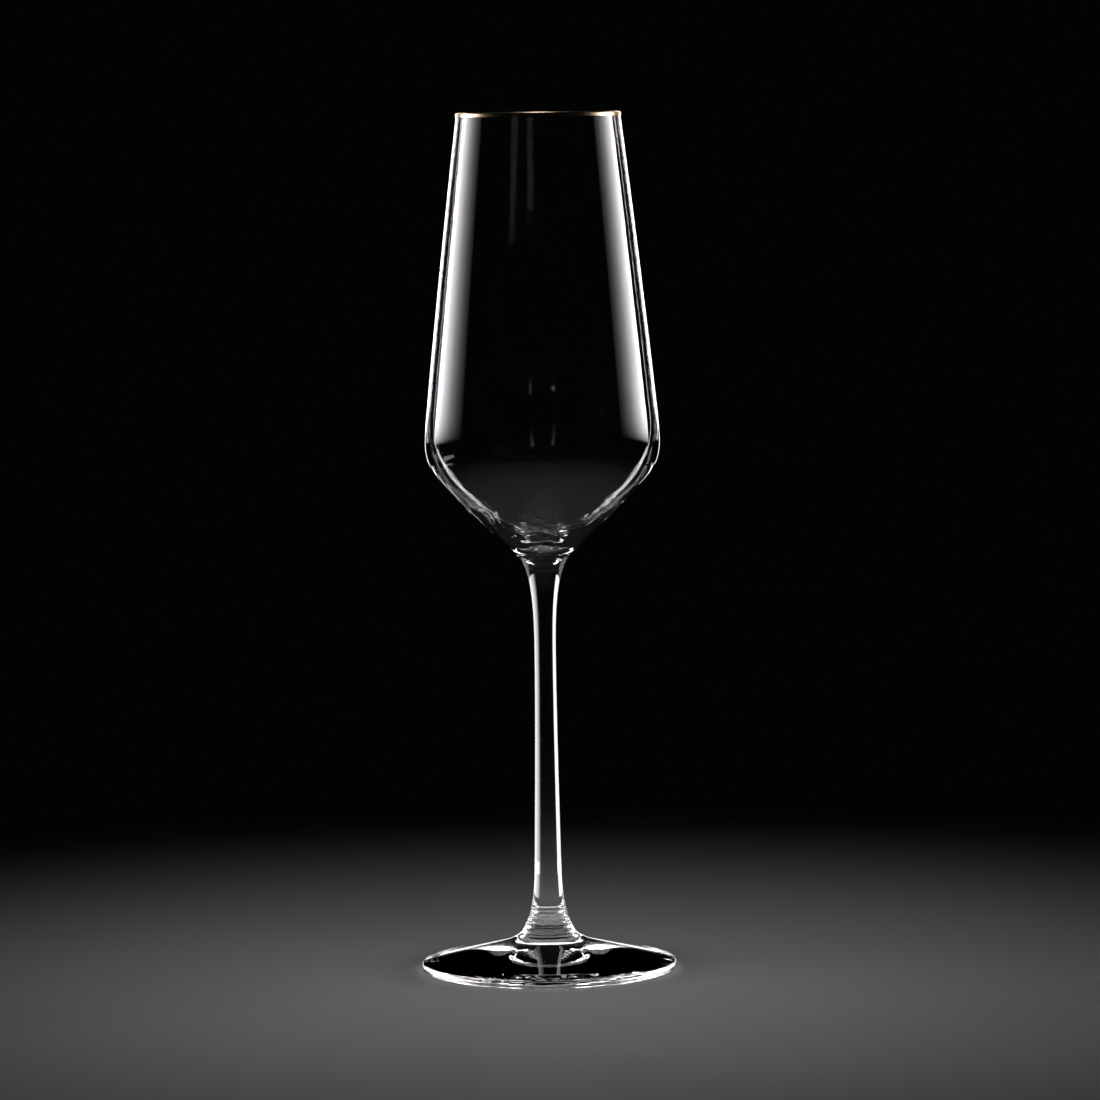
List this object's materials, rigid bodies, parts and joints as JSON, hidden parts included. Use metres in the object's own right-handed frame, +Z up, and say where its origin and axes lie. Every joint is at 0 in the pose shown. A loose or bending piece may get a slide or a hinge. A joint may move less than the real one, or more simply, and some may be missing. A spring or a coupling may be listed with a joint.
{
  "type": "champagne flute",
  "caption": "Stemmed champagne flute in clear glass: tall tapered bowl with an angular shoulder, slim flared stem, shallow conical foot and a fired gold line round the lip.",
  "frame": {"origin": "centre of the foot, on the surface that the glass stands on", "axes": "+Z up the axis of the glass, from the foot to the lip; the glass is round, so +X and +Y are any two square directions"},
  "size_m": [0.0688, 0.0688, 0.23],
  "materials": {
    "clear_crystal": "clear, colourless, fire-polished",
    "fired_gold": "bright fired gold"
  },
  "bodies": {
    "root": {"bowl": "clear_crystal", "stem": "clear_crystal", "foot": "clear_crystal", "gold_rim": "fired_gold"}
  },
  "joints": []
}
